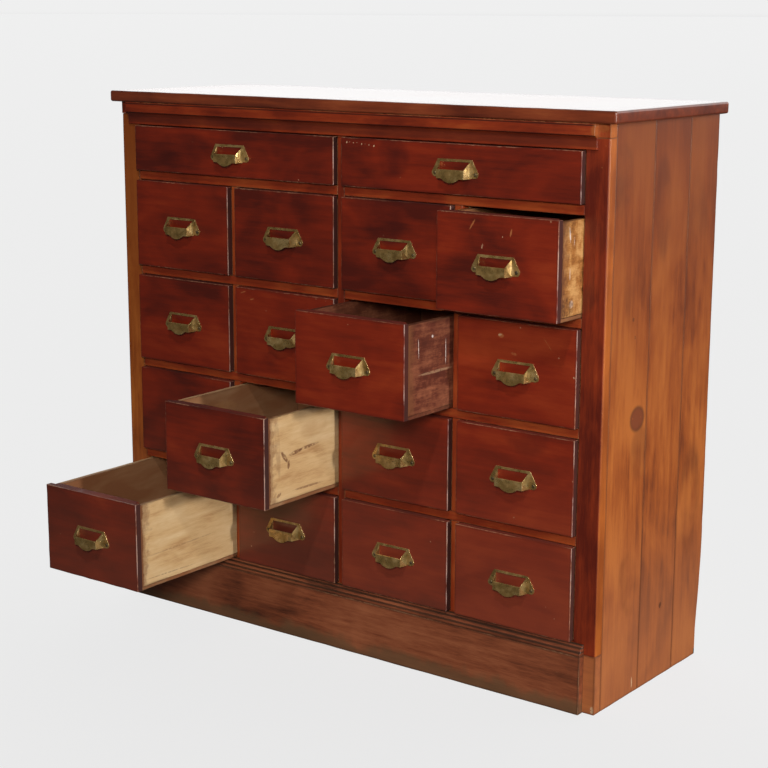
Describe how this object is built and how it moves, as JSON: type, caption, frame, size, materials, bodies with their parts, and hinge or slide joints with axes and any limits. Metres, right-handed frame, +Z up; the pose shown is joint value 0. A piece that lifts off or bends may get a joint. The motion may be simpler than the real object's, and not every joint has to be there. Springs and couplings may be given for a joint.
{
  "type": "apothecary cabinet",
  "caption": "Free-standing wooden drawer cabinet with wide drawers over a grid of small ones, brass label pulls, a moulded cornice and a plinth.",
  "frame": {"origin": "middle of the back at floor level, where the back boards meet the floor", "axes": "+Z up, +Y out of the back, so the drawers open towards -Y; +X to the right of someone facing the drawers"},
  "size_m": [1.176, 0.6985, 1.064],
  "materials": {
    "gloss_top": "brown stained board under glossy varnish",
    "mahogany_front": "red mahogany stain under worn satin varnish",
    "frame_stain": "orange-red stain under satin varnish",
    "honey_pine": "honey-brown varnished pine with knots",
    "plinth_wood": "dark brown stain, scuffed and dusty along the floor",
    "raw_pine": "bare pine, rubbed and stained with age",
    "aged_brass": "pressed brass, darkened with bright worn edges"
  },
  "bodies": {
    "case": {"top_board": "gloss_top", "cornice": "frame_stain", "frieze_rail": "frame_stain", "head_rail": "frame_stain", "sill_rail": "frame_stain", "base_rail": "honey_pine", "plinth_board": "plinth_wood", "plinth_cap": "plinth_wood", "stile_left": "honey_pine", "stile_right": "frame_stain", "centre_muntin": "frame_stain", "short_muntins": "frame_stain", "drawer_rails": "frame_stain", "side_boards_left": "honey_pine", "side_boards_right": "honey_pine", "back_boards": "raw_pine", "bottom_board": "raw_pine", "centre_partition": "raw_pine", "partition_left": "raw_pine", "partition_right": "raw_pine", "drawer_runners": "raw_pine", "side_guides": "raw_pine", "drawer_stops": "raw_pine", "top_cleats": "raw_pine"},
    "wide_left_box": {"drawer_wide_left": "mahogany_front", "pull_wide_left": "aged_brass"},
    "wide_right_box": {"drawer_wide_right": "mahogany_front", "pull_wide_right": "aged_brass"},
    "row1_col1_box": {"drawer_row1_col1": "mahogany_front", "pull_row1_col1": "aged_brass"},
    "row1_col2_box": {"drawer_row1_col2": "mahogany_front", "pull_row1_col2": "aged_brass"},
    "row1_col3_box": {"drawer_row1_col3": "mahogany_front", "pull_row1_col3": "aged_brass"},
    "row1_col4_box": {"drawer_row1_col4": "mahogany_front", "pull_row1_col4": "aged_brass"},
    "row2_col1_box": {"drawer_row2_col1": "mahogany_front", "pull_row2_col1": "aged_brass"},
    "row2_col2_box": {"drawer_row2_col2": "mahogany_front", "pull_row2_col2": "aged_brass"},
    "row2_col3_box": {"drawer_row2_col3": "mahogany_front", "pull_row2_col3": "aged_brass"},
    "row2_col4_box": {"drawer_row2_col4": "mahogany_front", "pull_row2_col4": "aged_brass"},
    "row3_col1_box": {"drawer_row3_col1": "mahogany_front", "pull_row3_col1": "aged_brass"},
    "row3_col2_box": {"drawer_row3_col2": "mahogany_front", "pull_row3_col2": "aged_brass"},
    "row3_col3_box": {"drawer_row3_col3": "mahogany_front", "pull_row3_col3": "aged_brass"},
    "row3_col4_box": {"drawer_row3_col4": "mahogany_front", "pull_row3_col4": "aged_brass"},
    "row4_col1_box": {"drawer_row4_col1": "mahogany_front", "pull_row4_col1": "aged_brass"},
    "row4_col2_box": {"drawer_row4_col2": "mahogany_front", "pull_row4_col2": "aged_brass"},
    "row4_col3_box": {"drawer_row4_col3": "mahogany_front", "pull_row4_col3": "aged_brass"},
    "row4_col4_box": {"drawer_row4_col4": "mahogany_front", "pull_row4_col4": "aged_brass"}
  },
  "joints": [
    {"name": "slide_wide_left", "type": "slide", "parent": "case", "child": "wide_left_box", "axis": [0, -1, 0], "range_m": [0, 0.3]},
    {"name": "slide_wide_right", "type": "slide", "parent": "case", "child": "wide_right_box", "axis": [0, -1, 0], "range_m": [0, 0.3]},
    {"name": "slide_row1_col1", "type": "slide", "parent": "case", "child": "row1_col1_box", "axis": [0, -1, 0], "range_m": [0, 0.3]},
    {"name": "slide_row1_col2", "type": "slide", "parent": "case", "child": "row1_col2_box", "axis": [0, -1, 0], "range_m": [0, 0.3]},
    {"name": "slide_row1_col3", "type": "slide", "parent": "case", "child": "row1_col3_box", "axis": [0, -1, 0], "range_m": [0, 0.3]},
    {"name": "slide_row1_col4", "type": "slide", "parent": "case", "child": "row1_col4_box", "axis": [0, -1, 0], "range_m": [-0.068, 0.232]},
    {"name": "slide_row2_col1", "type": "slide", "parent": "case", "child": "row2_col1_box", "axis": [0, -1, 0], "range_m": [0, 0.3]},
    {"name": "slide_row2_col2", "type": "slide", "parent": "case", "child": "row2_col2_box", "axis": [0, -1, 0], "range_m": [0, 0.3]},
    {"name": "slide_row2_col3", "type": "slide", "parent": "case", "child": "row2_col3_box", "axis": [0, -1, 0], "range_m": [-0.136, 0.164]},
    {"name": "slide_row2_col4", "type": "slide", "parent": "case", "child": "row2_col4_box", "axis": [0, -1, 0], "range_m": [0, 0.3]},
    {"name": "slide_row3_col1", "type": "slide", "parent": "case", "child": "row3_col1_box", "axis": [0, -1, 0], "range_m": [0, 0.3]},
    {"name": "slide_row3_col2", "type": "slide", "parent": "case", "child": "row3_col2_box", "axis": [0, -1, 0], "range_m": [-0.204, 0.096]},
    {"name": "slide_row3_col3", "type": "slide", "parent": "case", "child": "row3_col3_box", "axis": [0, -1, 0], "range_m": [0, 0.3]},
    {"name": "slide_row3_col4", "type": "slide", "parent": "case", "child": "row3_col4_box", "axis": [0, -1, 0], "range_m": [0, 0.3]},
    {"name": "slide_row4_col1", "type": "slide", "parent": "case", "child": "row4_col1_box", "axis": [0, -1, 0], "range_m": [-0.272, 0.028]},
    {"name": "slide_row4_col2", "type": "slide", "parent": "case", "child": "row4_col2_box", "axis": [0, -1, 0], "range_m": [0, 0.3]},
    {"name": "slide_row4_col3", "type": "slide", "parent": "case", "child": "row4_col3_box", "axis": [0, -1, 0], "range_m": [0, 0.3]},
    {"name": "slide_row4_col4", "type": "slide", "parent": "case", "child": "row4_col4_box", "axis": [0, -1, 0], "range_m": [0, 0.3]}
  ]
}
